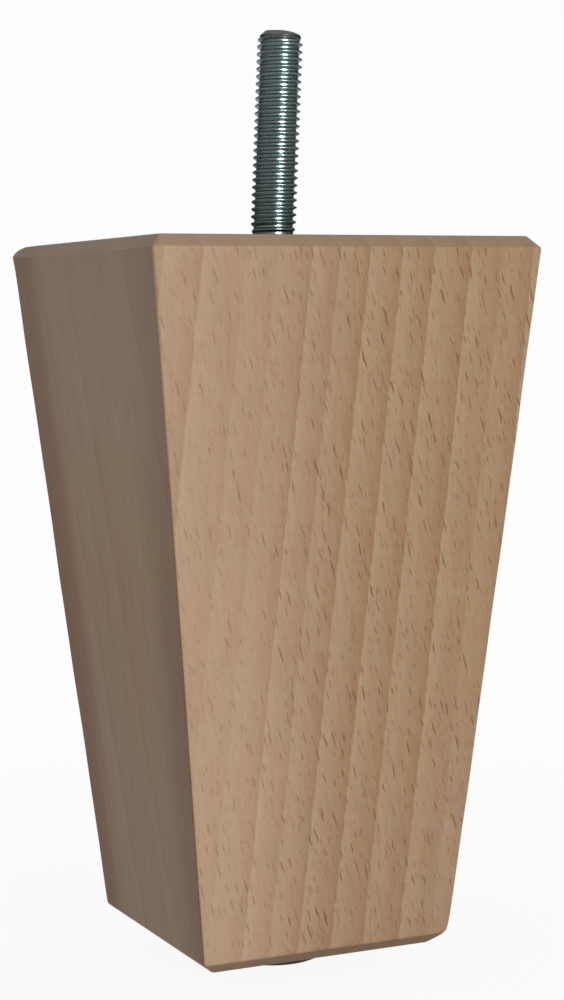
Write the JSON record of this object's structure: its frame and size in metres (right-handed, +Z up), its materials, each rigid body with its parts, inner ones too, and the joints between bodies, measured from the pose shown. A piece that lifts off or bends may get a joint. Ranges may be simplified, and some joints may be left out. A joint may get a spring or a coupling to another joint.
{
  "type": "furniture leg",
  "caption": "Square tapered beech furniture leg with bevelled ends, a threaded bolt standing out of its top and a round nail-on glide under its foot.",
  "frame": {"origin": "on the block's axis, on the floor under the glide", "axes": "+Z up along the leg's axis from the glide to the bolt; +X the way the bolt leans, and the -Y side is the broad face that the picture shows"},
  "size_m": [0.0686, 0.0686, 0.1604],
  "materials": {
    "beech": "sanded, unfinished",
    "zinc_plated_steel": "blue zinc plating",
    "glide_plastic": "moulded, slightly glossy",
    "nail_steel": "bright drawn wire"
  },
  "bodies": {
    "root": {"leg_block": "beech", "hanger_bolt": "zinc_plated_steel", "glide_pad": "glide_plastic", "glide_nail": "nail_steel"}
  },
  "joints": []
}
